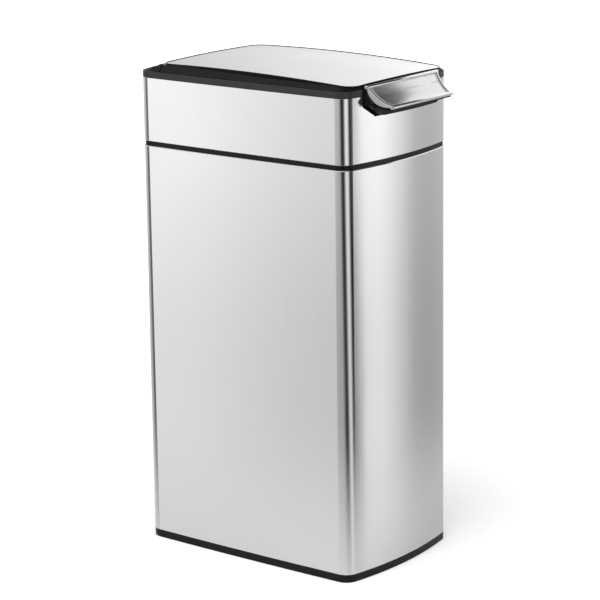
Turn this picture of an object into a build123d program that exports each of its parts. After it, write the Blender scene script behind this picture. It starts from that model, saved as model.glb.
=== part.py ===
from build123d import *
import os
from math import cos, hypot, radians, sin, sqrt

# Slim floor-standing kitchen bin with a touch bar: steel body, hinged steel collar and sprung lid.
# The touch bar at the front of the collar rocks on a pin and turns the hook that holds the lid shut.
# The lid swings on a rod behind the throat, and the whole collar tips back on a hinge at the seam,
# so that the inner bucket lifts out. Millimetres, +Z up, the front faces -Y, and the origin lies on
# the floor at the middle of the base.

os.makedirs("parts", exist_ok=True)

# Plan of the body: four bowed sides with rounded corners
body_width = 230.0
body_depth = 356.0
side_bow = 2.0
front_bow = 13.0
rear_bow = 10.0
corner_radius = 18.0

# Heights of the visible bands, from the floor up
base_height = 11.0
shell_height = 531.0
seam_height = 6.0
collar_height = 84.7
rim_height = 8.0
lid_rise = 12.5

# Gaps between pieces that move, and between pieces that only sit together
collar_gap = 0.3
lid_gap = 0.6
side_gap = 0.8
fit_gap = 0.3
pin_clearance = 0.06
press_clearance = 0.02

# Sheet metal
steel_wall = 0.8
hem_width = 2.0
hem_height = 3.5
hem_edge = 0.8

# Moulded walls
base_wall = 3.0
base_rib = 2.5
foot_radius = 9.0
foot_height = 2.5
foot_inset = 32.0
boss_wall = 3.0
skirt_wall = 2.2
skirt_depth = 22.0
base_skirt_height = 12.0
seam_inset = 1.2
foot_edge = 1.2
ledge_thickness = 3.0
chute_wall = 2.5
flange_thickness = 2.5

# Inner bucket
bucket_side_margin = 13.0
bucket_end_margin = 22.0
bucket_taper = 10.0
bucket_corner = 24.0
bucket_wall = 1.8
bucket_floor = 2.5
bucket_headroom = 10.0
bucket_rim_width = 6.0
bucket_rim_thickness = 2.5
bucket_rim_lip = 9.0
bucket_rim_edge = 1.0
bucket_seat_height = 3.0
bucket_guide_height = 9.0
bucket_play = 1.5

# Throat of the collar, measured in from the crowns of the four sides
throat_side_margin = 14.5
throat_front_margin = 48.5
throat_rear_margin = 60.0
throat_corner = 10.0

# Lid: a shallow dome over a bevelled frame
dome_ahead = 105.5
dome_fall = 6.72
dome_reach = 8.0
panel_thickness = 1.0
panel_proud = 0.7
panel_side_margin = 12.0
panel_front_margin = 9.0
panel_rear_margin = 38.0
panel_side_bow = 2.0
panel_front_bow = 1.0
panel_corner = 17.0
bevel_rear_run = 2.5
cap_inset = 0.3
lid_wall = 2.5
lid_deck = 2.2
liner_thickness = 2.0
liner_screw_inset = 16.0

# Lid hinge
lid_axis_margin = 37.5
lid_axis_rise = 2.4
lid_barrel_radius = 6.5
lid_barrel_margin = 14.6
hinge_rod_radius = 1.5
hinge_rod_margin = 8.0
cheek_radius = 6.0
sweep_gap = 0.7
spring_bay_half = 14.0
spring_bay_radius = 5.0
cover_ramp_rise = 5.8
cover_ramp_margin = 14.0
cover_deck_rise = 1.5
cheek_strip_rise = 3.0
cover_screw_x = 60.0

# Touch bar: a quarter-round steel scoop on a black carrier
scoop_reach = 24.5
scoop_rise = 5.0
scoop_radius = 26.5
scoop_sheet = 1.6
scoop_top_angle = 5.0
bead_radius = 2.4
top_bead_shift = 2.1
lip_bead_shift = 2.0
rib_rise = 2.2
bar_rear_margin = 36.0
bar_front_margin = 49.0
end_rib_width = 5.0
backing_thickness = 3.0
backing_inset = 1.5
carrier_margin = 35.0
carrier_reach = 12.0
carrier_drop = 33.5
carrier_web = 5.0
corner_run = 22.0
corner_rise = 14.0
stud_x = 40.0
stud_back = 22.5
stud_radius = 3.2
stud_depth = 6.4
stud_recess = 5.5
bar_opening_side = 2.0
bar_opening_below = 2.6
bar_notch_side = 3.5
bar_notch_step = 1.3
bar_notch_gap = 1.7

# Latch works behind the bar
bar_pin_margin = 16.0
bar_pin_rise = 8.5
bar_pin_radius = 2.0
arm_margin = 20.0
arm_width = 20.0
arm_boss_radius = 5.0
finger_reach = 11.0
finger_rise = 4.5
finger_thickness = 5.0
bar_lug_gap = 2.5
bar_lug_width = 4.0
pin_end = 1.5
pin_spacing = 16.0
hook_pin_drop = 4.0
hook_pin_radius = 1.5
hook_half = 5.0
hook_boss_radius = 4.0
hook_lug_gap = 2.0
hook_lug_width = 3.0
stem_front = 2.0
stem_rear = 2.5
nose_drop = 8.7
nose_height = 4.7
nose_reach = 5.5
nose_tip = 1.3
tail_reach = 8.5
tail_thickness = 3.0
housing_margin = 27.0
housing_wall = 2.5
housing_drop = 11.5
housing_front_inset = 2.0
housing_side_inset = 7.0
housing_tab_reach = 5.0
housing_tab_margins = (22.0, 37.0)
housing_tab_radius = 4.5
housing_tab_drop = 6.0
strike_bar_height = 2.5
strike_bar_depth = 3.0
strike_half = 10.0
strike_leg = 2.0
strike_bite = 2.0
strike_foot_half = 13.0
strike_foot_length = 9.0
strike_foot_thickness = 1.1
slot_half = 13.0
slot_front = 2.0
slot_rear = 7.0

# Rear hinge between body and collar
rear_axis_reach = 5.0
rear_knuckle_radius = 4.5
rear_pin_radius = 2.0
rear_knuckle_half = 13.5
rear_bracket_half = 32.0
rear_leaf_thickness = 2.5
rear_leaf_height = 24.0
rear_arm_thickness = 4.2
rear_pin_head_radius = 3.2
rear_pin_head_height = 1.5

# Fasteners, bumpers and springs
screw_radius = 1.9
screw_head_radius = 3.6
screw_head_height = 2.0
screw_clearance = 0.1
sink_depth = 1.7
bumper_radius = 4.0
bumper_margin = 1.5
bumper_front_inset = 10.0
bumper_rear_inset = 18.0
bumper_gap = 0.1
spring_wire = 0.5
bar_spring_inset = 15.0
bar_spring_ahead = 8.5
bar_spring_radius = 3.4
latch_spring_rise = 16.0
latch_spring_radius = 2.5
torsion_wire = 0.6
torsion_radius = 2.9
torsion_half = 12.0
torsion_foot_reach = 6.4
torsion_foot_drop = 7.4
torsion_arm = 2.5

# Levels that follow from the bands
shell_top = base_height + shell_height
seam_top = shell_top + seam_height
collar_bottom = seam_top + collar_gap
collar_top = collar_bottom + collar_height
rim_top = collar_top + rim_height
lid_bottom = rim_top + lid_gap
lid_top = lid_bottom + lid_rise
ledge_bottom = rim_top - ledge_thickness

# Crowns of the four sides, and the corners where the bowed sides would meet
side_x = body_width / 2
front_y = -body_depth / 2
rear_y = body_depth / 2
corner_x = side_x - side_bow
corner_front = front_y + front_bow
corner_rear = rear_y - rear_bow
tall = 2 * lid_top

# Throat and bucket
throat_half_width = side_x - throat_side_margin
throat_front = front_y + throat_front_margin
throat_rear = rear_y - throat_rear_margin
bucket_width = body_width - 2 * bucket_side_margin
bucket_length = body_depth - 2 * bucket_end_margin

# Lid and its hinge
lid_axis_y = rear_y - lid_axis_margin
lid_axis_z = rim_top + lid_axis_rise
lid_barrel_half = side_x - lid_barrel_margin
hinge_rod_half = side_x - hinge_rod_margin
panel_half_width = side_x - panel_side_margin
panel_front = front_y + panel_front_margin
panel_rear = rear_y - panel_rear_margin
dome_y = lid_axis_y - dome_ahead
dome_radius = ((dome_y - panel_front) ** 2 + dome_fall ** 2) / (2 * dome_fall)
dome_z = lid_top - dome_radius
bevel_top_front = lid_top - dome_fall - panel_proud
bevel_top_rear = lid_top - (panel_rear - dome_y) ** 2 / (2 * dome_radius) - panel_proud
cover_ramp_top = rim_top + cover_ramp_rise
cover_ramp_end = rear_y - cover_ramp_margin
cover_deck_top = rim_top + cover_deck_rise
cheek_strip_top = rim_top + cheek_strip_rise

# Touch bar and carrier
scoop_y = front_y - scoop_reach
scoop_z = rim_top + scoop_rise
top_bead_y = scoop_y + scoop_radius + top_bead_shift
top_bead_z = scoop_z - bead_radius
lip_bead_y = scoop_y - lip_bead_shift
lip_bead_z = scoop_z - scoop_radius
bar_rear_y = top_bead_y + bead_radius
bar_front_y = lip_bead_y - bead_radius - fit_gap
bar_rear_half = side_x - bar_rear_margin
bar_front_half = side_x - bar_front_margin
carrier_half = side_x - carrier_margin
carrier_bottom = rim_top - carrier_drop
carrier_top = rim_top
stud_y = scoop_y + stud_back
stud_seat = carrier_bottom + stud_recess
stud_bottom = stud_seat + carrier_web
bar_opening_half = carrier_half + bar_opening_side
bar_opening_bottom = carrier_bottom - bar_opening_below
bar_notch_half = bar_rear_half + bar_notch_side
bar_notch_y = bar_rear_y + bar_notch_step

# Latch works
bar_pin_y = front_y + bar_pin_margin
bar_pin_z = carrier_bottom + bar_pin_rise
arm_half = carrier_half - arm_margin
finger_end = bar_pin_y + finger_reach
finger_bottom = carrier_bottom + finger_rise
finger_top = finger_bottom + finger_thickness
hook_pin_y = bar_pin_y + pin_spacing
hook_pin_z = bar_pin_z - hook_pin_drop
nose_bottom = rim_top - nose_drop
hook_top = nose_bottom + nose_height
latch_spring_z = hook_pin_z + latch_spring_rise
bar_spring_x = arm_half - bar_spring_inset
bar_spring_y = bar_pin_y - bar_spring_ahead
housing_half = side_x - housing_margin
housing_bottom = carrier_bottom - housing_drop
housing_tab_x = housing_half + housing_tab_reach
housing_tab_places = [front_y + margin for margin in housing_tab_margins]

# Rear hinge
rear_axis_y = rear_y + rear_axis_reach


def bow_radius(half_chord, bow):
    """Radius of the arc that rises by a bow over half its chord."""
    return (half_chord ** 2 + bow ** 2) / (2 * bow)


def circle_corner(centre_y, end_radius, centre_x, side_y, side_radius, toward):
    """Where the arc of an end meets the arc of the right side; toward is -1 at the front, 1 at the rear."""
    dx, dy = centre_x, side_y - centre_y
    gap = hypot(dx, dy)
    along = (end_radius ** 2 - side_radius ** 2 + gap ** 2) / (2 * gap)
    across = sqrt(end_radius ** 2 - along ** 2)
    corners = [(along * dx / gap + turn * across * dy / gap,
                centre_y + along * dy / gap - turn * across * dx / gap) for turn in (-1, 1)]
    return max(corners, key=lambda corner: (corner[0] > 0) * toward * corner[1] + (corner[0] > 0) * tall)


def bowed_outline(half_x, low_y, high_y, side, low_bow, high_bow, radius, inset):
    """A four-sided outline with bowed sides and rounded corners, drawn in by an inset."""
    mid_y = (low_y + high_y) / 2
    low_radius = bow_radius(half_x, low_bow)
    high_radius = bow_radius(half_x, high_bow)
    side_radius = bow_radius((high_y - low_y) / 2, side)
    side_centre = half_x + side - side_radius
    low_x, low_corner = circle_corner(low_y - low_bow + low_radius, low_radius - inset, side_centre,
                                      mid_y, side_radius - inset, -1)
    high_x, high_corner = circle_corner(high_y + high_bow - high_radius, high_radius - inset,
                                        side_centre, mid_y, side_radius - inset, 1)
    with BuildSketch(mode=Mode.PRIVATE) as plan:
        with BuildLine():
            ThreePointArc((-low_x, low_corner), (0, low_y - low_bow + inset), (low_x, low_corner))
            ThreePointArc((low_x, low_corner), (half_x + side - inset, mid_y), (high_x, high_corner))
            ThreePointArc((high_x, high_corner), (0, high_y + high_bow - inset), (-high_x, high_corner))
            ThreePointArc((-high_x, high_corner), (inset - half_x - side, mid_y), (-low_x, low_corner))
        make_face()
        fillet(plan.vertices(), radius - inset)
    return plan.sketch


def outline(inset=0.0):
    """Plan of the body, inset from its outer face."""
    return bowed_outline(corner_x, corner_front, corner_rear, side_bow, front_bow, rear_bow,
                         corner_radius, inset)


def wall_ring(outer_inset, inner_inset):
    """Plan of a wall that follows the body between two insets."""
    with BuildSketch(mode=Mode.PRIVATE) as ring:
        add(outline(outer_inset))
        add(outline(inner_inset), mode=Mode.SUBTRACT)
    return ring.sketch


def throat(grow=0.0):
    """Plan of the throat, grown by a wall."""
    length = throat_rear - throat_front
    with BuildSketch(mode=Mode.PRIVATE) as hole:
        with Locations((0, (throat_front + throat_rear) / 2)):
            RectangleRounded(2 * (throat_half_width + grow), length + 2 * grow, throat_corner + grow)
    return hole.sketch


def panel_outline(inset=0.0, rear=panel_rear - panel_front_bow, shift=0.0):
    """Plan of the steel lid panel; shift moves it along the lid."""
    half_x = panel_half_width - panel_side_bow
    return bowed_outline(half_x, panel_front + panel_front_bow + shift, rear + shift, panel_side_bow,
                         panel_front_bow, panel_front_bow, panel_corner, inset)


def rear_sag(x):
    """How far the bowed rear lies in front of its crown at a distance from the middle."""
    radius = bow_radius(corner_x, rear_bow)
    return radius - sqrt(radius ** 2 - x ** 2)


def block(low, high):
    """A box between two corners, for cuts."""
    sizes = [top - bottom for bottom, top in zip(low, high)]
    with BuildPart(mode=Mode.PRIVATE) as piece:
        with Locations(low):
            Box(*sizes, align=(Align.MIN, Align.MIN, Align.MIN))
    return piece.part


def rod(radius, start, length, direction):
    """A round bar from a point along a direction, for pins, bores and bosses."""
    axis_plane = Plane(origin=start, z_dir=direction)
    with BuildPart(mode=Mode.PRIVATE) as piece:
        with BuildSketch(axis_plane):
            Circle(radius)
        extrude(amount=length)
    return piece.part


def cross_rod(radius, half, y, z):
    """A round bar along X, centred on the middle of the bin."""
    return rod(radius, (-half, y, z), 2 * half, (1, 0, 0))


def side_profile(points, half):
    """A profile in the YZ plane, drawn through points and widened both ways."""
    with BuildPart(mode=Mode.PRIVATE) as piece:
        with BuildSketch(Plane.YZ):
            with BuildLine():
                Polyline(*points, close=True)
            make_face()
        extrude(amount=half, both=True)
    return piece.part


def bar_front(half, bottom, top):
    """Front view of the touch bar's carrier, with slanting lower corners, for the opening it fills."""
    with BuildPart(mode=Mode.PRIVATE) as piece:
        with BuildSketch(Plane.XZ):
            with BuildLine():
                Polyline((-half, top), (half, top), (half, bottom + corner_rise),
                         (half - corner_run, bottom), (corner_run - half, bottom),
                         (-half, bottom + corner_rise), close=True)
            make_face()
        extrude(amount=body_depth)
    return piece.part


def coil(radius, wire, start, length, direction):
    """The tube that a coil spring fills: its mean radius, and the radius of its wire."""
    with BuildPart(mode=Mode.PRIVATE) as piece:
        with BuildSketch(Plane(origin=start, z_dir=direction)):
            Circle(radius + wire)
            Circle(radius - wire, mode=Mode.SUBTRACT)
        extrude(amount=length)
    return piece.part


def pan_screw(seat, direction, shank_length):
    """A pan-head screw whose head rests on the seat; direction runs down the shank."""
    axis_plane = Plane(origin=seat, z_dir=direction)
    with BuildPart(mode=Mode.PRIVATE) as screw:
        with BuildSketch(axis_plane):
            Circle(screw_radius)
        extrude(amount=shank_length)
        with BuildSketch(axis_plane):
            Circle(screw_head_radius)
        extrude(amount=-screw_head_height)
    return screw.part


def flat_screw(seat, direction, shank_length):
    """A countersunk screw whose head lies flush at the seat; direction runs down the shank."""
    axis_plane = Plane(origin=seat, z_dir=direction)
    with BuildPart(mode=Mode.PRIVATE) as screw:
        with BuildSketch(axis_plane):
            Circle(screw_radius)
        extrude(amount=shank_length)
        with Locations(axis_plane):
            Cone(screw_head_radius, screw_radius, sink_depth, align=(Align.CENTER, Align.CENTER, Align.MIN))
    return screw.part


def finish(builder, name):
    """Label a piece and write it."""
    builder.part.label = name
    export_step(builder.part, f"parts/{name}.step")


# Places that several pieces share
floor_bottom = collar_bottom + side_gap
leaf_bottom = floor_bottom + flange_thickness
skirt_outer = hem_width + fit_gap
skirt_inner = skirt_outer + skirt_wall
leaf_outer = skirt_inner + press_clearance
leaf_inner = leaf_outer + rear_leaf_thickness
leaf_screw_x = rear_bracket_half - 2 * rear_knuckle_radius
body_screw_z = shell_top - skirt_depth / 2
collar_screw_z = leaf_bottom + 2 * screw_head_radius


def leaf_screw_hole(side, height):
    """Clearance hole through a hinge leaf and the skirt behind it."""
    start = (side * leaf_screw_x, rear_y - leaf_inner - 2 * screw_head_radius, height)
    return rod(screw_radius + screw_clearance, start, 2 * screw_head_radius + leaf_inner - hem_width,
               (0, 1, 0))


def leaf_screws(height):
    """The pair of screws that hold a hinge leaf to its skirt."""
    seat_y = rear_y - leaf_inner - rear_sag(leaf_screw_x + screw_head_radius) - press_clearance
    return [pan_screw((side * leaf_screw_x, seat_y, height), (0, 1, 0),
                      rear_leaf_thickness + skirt_wall) for side in (-1, 1)]


# Base: a shallow tray that closes the shell from below, ribbed underneath
foot_x = side_x - foot_inset
foot_front = corner_front + foot_inset - front_bow / 2
foot_rear = corner_rear - foot_inset + rear_bow / 2
foot_places = [(x, y) for x in (-foot_x, foot_x) for y in (foot_front, foot_rear)]
bucket_foot_width = bucket_width - 2 * bucket_taper
bucket_foot_length = bucket_length - 2 * bucket_taper
rib_pitch_x = foot_x
rib_pitch_y = (foot_rear - foot_front) / 3
with BuildPart() as base_core:
    with BuildSketch():
        add(outline(base_wall / 2))
    extrude(amount=base_height - base_wall)
with BuildPart() as base_ribs:
    with BuildSketch():
        with GridLocations(rib_pitch_x, 1, 3, 1):
            Rectangle(base_rib, body_depth)
        with GridLocations(1, rib_pitch_y, 1, 3):
            Rectangle(body_width, base_rib)
    extrude(amount=base_height - base_wall)
    add(base_core.part, mode=Mode.INTERSECT)
with BuildPart() as base_plinth:
    with BuildSketch():
        add(outline())
    extrude(amount=base_height)
    chamfer(base_plinth.faces().sort_by(Axis.Z)[0].edges(), foot_edge)
    with BuildSketch():
        add(outline(base_wall))
    extrude(amount=base_height - base_wall, mode=Mode.SUBTRACT)
    add(base_ribs.part)
    with BuildSketch():
        with Locations(*foot_places):
            Circle(foot_radius + boss_wall)
    extrude(amount=base_height - base_wall)
    with BuildSketch():
        with Locations(*foot_places):
            Circle(foot_radius + press_clearance)
    extrude(amount=foot_height, mode=Mode.SUBTRACT)
    with BuildSketch(Plane.XY.offset(base_height)):
        add(wall_ring(steel_wall + fit_gap, steel_wall + fit_gap + skirt_wall))
        guide_width = bucket_foot_width + 2 * bucket_play
        guide_length = bucket_foot_length + 2 * bucket_play
        RectangleRounded(guide_width + 2 * base_rib, guide_length + 2 * base_rib, bucket_corner)
        RectangleRounded(guide_width, guide_length, bucket_corner - base_rib, mode=Mode.SUBTRACT)
    extrude(amount=bucket_guide_height)
    with BuildSketch(Plane.XY.offset(base_height)):
        with GridLocations(1, rib_pitch_y, 1, 3):
            Rectangle(bucket_foot_width, 2 * base_rib)
    extrude(amount=bucket_seat_height)
finish(base_plinth, "base_plinth")

with BuildPart() as base_feet:
    with BuildSketch():
        with Locations(*foot_places):
            Circle(foot_radius)
    extrude(amount=foot_height)
finish(base_feet, "base_feet")

# Body shell: bowed sheet steel with a rolled hem at the top
with BuildPart() as body_shell:
    with BuildSketch(Plane.XY.offset(base_height)):
        add(wall_ring(0, steel_wall))
    extrude(amount=shell_height)
    with BuildSketch(Plane.XY.offset(shell_top)):
        add(wall_ring(0, hem_width))
    extrude(amount=-hem_height)
    chamfer(body_shell.faces().sort_by(Axis.Z)[-1].outer_wire().edges(), hem_edge)
finish(body_shell, "body_shell")

# Seam ring: the black band between body and collar, with a skirt inside the shell
with BuildPart() as seam_ring:
    with BuildSketch(Plane.XY.offset(shell_top)):
        add(wall_ring(seam_inset, skirt_inner))
    extrude(amount=seam_height)
    with BuildSketch(Plane.XY.offset(shell_top)):
        add(wall_ring(skirt_outer, skirt_inner))
    extrude(amount=-skirt_depth)
    notch_half = rear_bracket_half + side_gap
    add(block((-notch_half, 0, shell_top), (notch_half, body_depth, seam_top + fit_gap)),
        mode=Mode.SUBTRACT)
    for side in (-1, 1):
        add(leaf_screw_hole(side, body_screw_z), mode=Mode.SUBTRACT)
finish(seam_ring, "seam_ring")

# Inner bucket: a tapered tub with a rolled rim, standing on the ribs of the base
bucket_bottom = base_height + bucket_seat_height
bucket_top = shell_top - bucket_headroom
with BuildPart() as inner_bucket:
    with BuildSketch(Plane.XY.offset(bucket_bottom)):
        RectangleRounded(bucket_foot_width, bucket_foot_length, bucket_corner - bucket_wall)
    with BuildSketch(Plane.XY.offset(bucket_top)):
        RectangleRounded(bucket_width, bucket_length, bucket_corner)
    loft()
    with BuildSketch(Plane.XY.offset(bucket_top)):
        RectangleRounded(bucket_width + 2 * bucket_rim_width, bucket_length + 2 * bucket_rim_width,
                         bucket_corner + bucket_rim_width)
    extrude(amount=-bucket_rim_thickness)
    with BuildSketch(Plane.XY.offset(bucket_top)):
        RectangleRounded(bucket_width + 2 * bucket_rim_width, bucket_length + 2 * bucket_rim_width,
                         bucket_corner + bucket_rim_width)
        RectangleRounded(bucket_width + 2 * (bucket_rim_width - bucket_wall),
                         bucket_length + 2 * (bucket_rim_width - bucket_wall),
                         bucket_corner + bucket_rim_width - bucket_wall, mode=Mode.SUBTRACT)
    extrude(amount=-bucket_rim_lip)
    with BuildSketch(Plane.XY.offset(bucket_bottom + bucket_floor)):
        RectangleRounded(bucket_foot_width - 2 * bucket_wall, bucket_foot_length - 2 * bucket_wall,
                         bucket_corner - 2 * bucket_wall)
    with BuildSketch(Plane.XY.offset(bucket_top)):
        RectangleRounded(bucket_width - 2 * bucket_wall, bucket_length - 2 * bucket_wall,
                         bucket_corner - bucket_wall)
    loft(mode=Mode.SUBTRACT)
    chamfer(inner_bucket.faces().sort_by(Axis.Z)[-1].outer_wire().edges(), bucket_rim_edge)
finish(inner_bucket, "inner_bucket")

# Collar shell: the upper steel band, open at the front for the touch bar
rear_axis_z = (seam_top + collar_bottom) / 2
collar_arm_top = collar_bottom + side_gap + rear_arm_thickness
with BuildPart() as collar_shell:
    with BuildSketch(Plane.XY.offset(collar_bottom)):
        add(wall_ring(0, steel_wall))
    extrude(amount=collar_height)
    with BuildSketch(Plane.XY.offset(collar_bottom)):
        add(wall_ring(0, hem_width))
    extrude(amount=hem_height)
    with BuildSketch(Plane.XY.offset(collar_top)):
        add(wall_ring(0, hem_width))
    extrude(amount=-hem_height)
    for end_face in (collar_shell.faces().sort_by(Axis.Z)[0], collar_shell.faces().sort_by(Axis.Z)[-1]):
        chamfer(end_face.outer_wire().edges(), hem_edge)
    add(bar_front(bar_opening_half, bar_opening_bottom, tall), mode=Mode.SUBTRACT)
    add(block((-rear_knuckle_half - side_gap, 0, collar_bottom - side_gap),
              (rear_knuckle_half + side_gap, body_depth, collar_arm_top + side_gap)),
        mode=Mode.SUBTRACT)
finish(collar_shell, "collar_shell")

# Collar frame: the moulded rim, its ledge and the chute below the lid
barrel_bay_front = lid_axis_y - lid_barrel_radius - sweep_gap
lid_sweep = lid_top - (lid_axis_y - dome_y) ** 2 / (2 * dome_radius) - lid_axis_z
cover_front = lid_axis_y + lid_sweep + sweep_gap
bay_half = lid_barrel_half + side_gap
strike_front = hook_pin_y - nose_reach + strike_bite - strike_bar_depth - fit_gap
bumper_x = throat_half_width + bumper_radius + bumper_margin
bumper_places = [(x, y) for x in (-bumper_x, bumper_x)
                 for y in (throat_front + bumper_front_inset, throat_rear - bumper_rear_inset)]
housing_screw_places = [(x, y) for x in (-housing_tab_x, housing_tab_x) for y in housing_tab_places]
cover_screw_y = (cover_front + cover_ramp_end) / 2
cover_screw_places = [(x, cover_screw_y) for x in (-cover_screw_x, cover_screw_x)]
tab_top = ledge_bottom - housing_tab_drop
with BuildPart() as collar_frame:
    with BuildSketch(Plane.XY.offset(collar_top)):
        add(wall_ring(0, base_wall))
    extrude(amount=rim_height)
    chamfer(collar_frame.faces().sort_by(Axis.Z)[-1].outer_wire().edges(), cap_inset)
    with BuildSketch(Plane.XY.offset(rim_top)):
        add(outline(base_wall / 2))
    extrude(amount=-ledge_thickness)
    with BuildSketch(Plane.XY.offset(rim_top)):
        add(wall_ring(skirt_outer, skirt_inner))
    extrude(amount=-(rim_height + skirt_wall + hem_height))
    with BuildSketch(Plane.XY.offset(rim_top)):
        add(throat())
    extrude(amount=-ledge_thickness, mode=Mode.SUBTRACT)
    add(block((-bay_half, barrel_bay_front, collar_top), (bay_half, cover_front, tall)),
        mode=Mode.SUBTRACT)
    add(block((-bar_opening_half, -body_depth, bar_opening_bottom),
              (bar_opening_half, bar_notch_y + bar_notch_gap, tall)), mode=Mode.SUBTRACT)
    add(block((-slot_half, strike_front - slot_front, collar_top),
              (slot_half, hook_pin_y + slot_rear, tall)), mode=Mode.SUBTRACT)
    with BuildSketch(Plane.XY.offset(ledge_bottom)):
        with Locations(*housing_screw_places):
            Circle(housing_tab_radius)
            Circle(screw_radius + press_clearance, mode=Mode.SUBTRACT)
    extrude(amount=-housing_tab_drop)
    with BuildSketch(Plane.XY.offset(ledge_bottom)):
        with Locations(*cover_screw_places):
            Circle(screw_radius + screw_clearance)
    extrude(amount=ledge_thickness, mode=Mode.SUBTRACT)
    with BuildSketch(Plane.XY.offset(rim_top)):
        with Locations(*bumper_places):
            Circle(bumper_radius + press_clearance)
    extrude(amount=-ledge_thickness / 2, mode=Mode.SUBTRACT)
finish(collar_frame, "collar_frame")

# Chute: the sleeve of the throat, held between the ledge and the floor of the collar
with BuildPart() as collar_chute:
    with BuildSketch(Plane.XY.offset(leaf_bottom + press_clearance)):
        add(throat(chute_wall))
        add(throat(), mode=Mode.SUBTRACT)
    extrude(amount=ledge_bottom - leaf_bottom - 2 * press_clearance)
finish(collar_chute, "collar_chute")

# Floor of the collar: closes the space between the steel band and the chute from below
with BuildPart() as collar_floor:
    with BuildSketch(Plane.XY.offset(floor_bottom)):
        add(outline(skirt_outer))
        add(throat(), mode=Mode.SUBTRACT)
    extrude(amount=flange_thickness)
    with BuildSketch(Plane.XY.offset(floor_bottom)):
        add(wall_ring(skirt_outer, skirt_inner))
        add(throat(chute_wall + fit_gap + skirt_wall))
        add(throat(chute_wall + fit_gap), mode=Mode.SUBTRACT)
    extrude(amount=flange_thickness + base_skirt_height)
    add(block((-rear_knuckle_half - side_gap, throat_rear + chute_wall + fit_gap + skirt_wall, 0),
              (rear_knuckle_half + side_gap, body_depth, collar_arm_top + fit_gap)),
        mode=Mode.SUBTRACT)
    for side in (-1, 1):
        add(leaf_screw_hole(side, collar_screw_z), mode=Mode.SUBTRACT)
finish(collar_floor, "collar_floor")

# Rear hinge: two leaves that reach out through the seam to knuckles on one pin
arm_front_y = rear_y - leaf_inner - rear_sag(rear_bracket_half)


def hinge_leaf(low, high, half):
    """A leaf that lies against the inside of the skirt, following its bow."""
    with BuildPart(mode=Mode.PRIVATE) as leaf:
        with BuildSketch(Plane.XY.offset(low)):
            add(wall_ring(leaf_outer, leaf_inner))
        extrude(amount=high - low)
        add(block((-half, 0, low), (half, body_depth, high)), mode=Mode.INTERSECT)
    return leaf.part


with BuildPart() as body_hinge_leaf:
    add(hinge_leaf(seam_top - rear_leaf_height, seam_top - side_gap, rear_bracket_half))
    for side in (-1, 1):
        inner_x = side * (rear_knuckle_half + fit_gap)
        outer_x = side * rear_bracket_half
        add(block((min(inner_x, outer_x), arm_front_y, seam_top - side_gap - rear_arm_thickness),
                  (max(inner_x, outer_x), rear_axis_y, seam_top - side_gap)))
        add(rod(rear_knuckle_radius, (inner_x, rear_axis_y, rear_axis_z),
                rear_bracket_half - rear_knuckle_half - fit_gap, (side, 0, 0)))
    add(cross_rod(rear_pin_radius + press_clearance, rear_bracket_half, rear_axis_y, rear_axis_z),
        mode=Mode.SUBTRACT)
    for side in (-1, 1):
        add(leaf_screw_hole(side, body_screw_z), mode=Mode.SUBTRACT)
finish(body_hinge_leaf, "body_hinge_leaf")

with BuildPart() as collar_hinge_leaf:
    add(hinge_leaf(leaf_bottom + fit_gap, leaf_bottom + rear_leaf_height, rear_bracket_half))
    add(hinge_leaf(floor_bottom, leaf_bottom + rear_leaf_height, rear_knuckle_half))
    add(block((-rear_knuckle_half, arm_front_y, floor_bottom),
              (rear_knuckle_half, rear_axis_y, collar_arm_top)))
    add(cross_rod(rear_knuckle_radius, rear_knuckle_half, rear_axis_y, rear_axis_z))
    add(cross_rod(rear_pin_radius + pin_clearance, rear_knuckle_half, rear_axis_y, rear_axis_z),
        mode=Mode.SUBTRACT)
    for side in (-1, 1):
        add(leaf_screw_hole(side, collar_screw_z), mode=Mode.SUBTRACT)
finish(collar_hinge_leaf, "collar_hinge_leaf")

with BuildPart() as rear_hinge_pin:
    add(cross_rod(rear_pin_radius, rear_bracket_half, rear_axis_y, rear_axis_z))
    head_x = rear_bracket_half + press_clearance
    for side in (-1, 1):
        add(rod(rear_pin_head_radius, (side * head_x, rear_axis_y, rear_axis_z), rear_pin_head_height,
                (side, 0, 0)))
        add(rod(rear_pin_radius, (side * rear_bracket_half, rear_axis_y, rear_axis_z),
                press_clearance, (side, 0, 0)))
finish(rear_hinge_pin, "rear_hinge_pin")

with BuildPart() as body_hinge_screws:
    for screw in leaf_screws(body_screw_z):
        add(screw)
finish(body_hinge_screws, "body_hinge_screws")

with BuildPart() as collar_hinge_screws:
    for screw in leaf_screws(collar_screw_z):
        add(screw)
finish(collar_hinge_screws, "collar_hinge_screws")

# Bevelled cap: the form shared by the lid frame and the fixed cover behind it
bevel_slope = (bevel_top_rear - bevel_top_front) / (panel_rear - panel_front)
bevel_plane = Plane(origin=(0, panel_front, bevel_top_front), x_dir=(1, 0, 0), z_dir=(0, -bevel_slope, 1))


def bevelled_cap(inset=0.0):
    """Solid under the sloping bevel, drawn in by a wall."""
    with BuildPart() as cap:
        with BuildSketch(Plane.XY.offset(rim_top)):
            add(outline(cap_inset + inset))
        with BuildSketch(bevel_plane):
            add(panel_outline(inset, panel_rear + bevel_rear_run, -panel_front))
        loft()
    return cap.part


def panel_prism(inset):
    """Everything straight below the steel panel down to the rim, drawn in by an inset."""
    with BuildPart() as prism:
        with BuildSketch(Plane.XY.offset(rim_top)):
            add(panel_outline(inset))
        extrude(amount=2 * lid_rise)
    return prism.part


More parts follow.
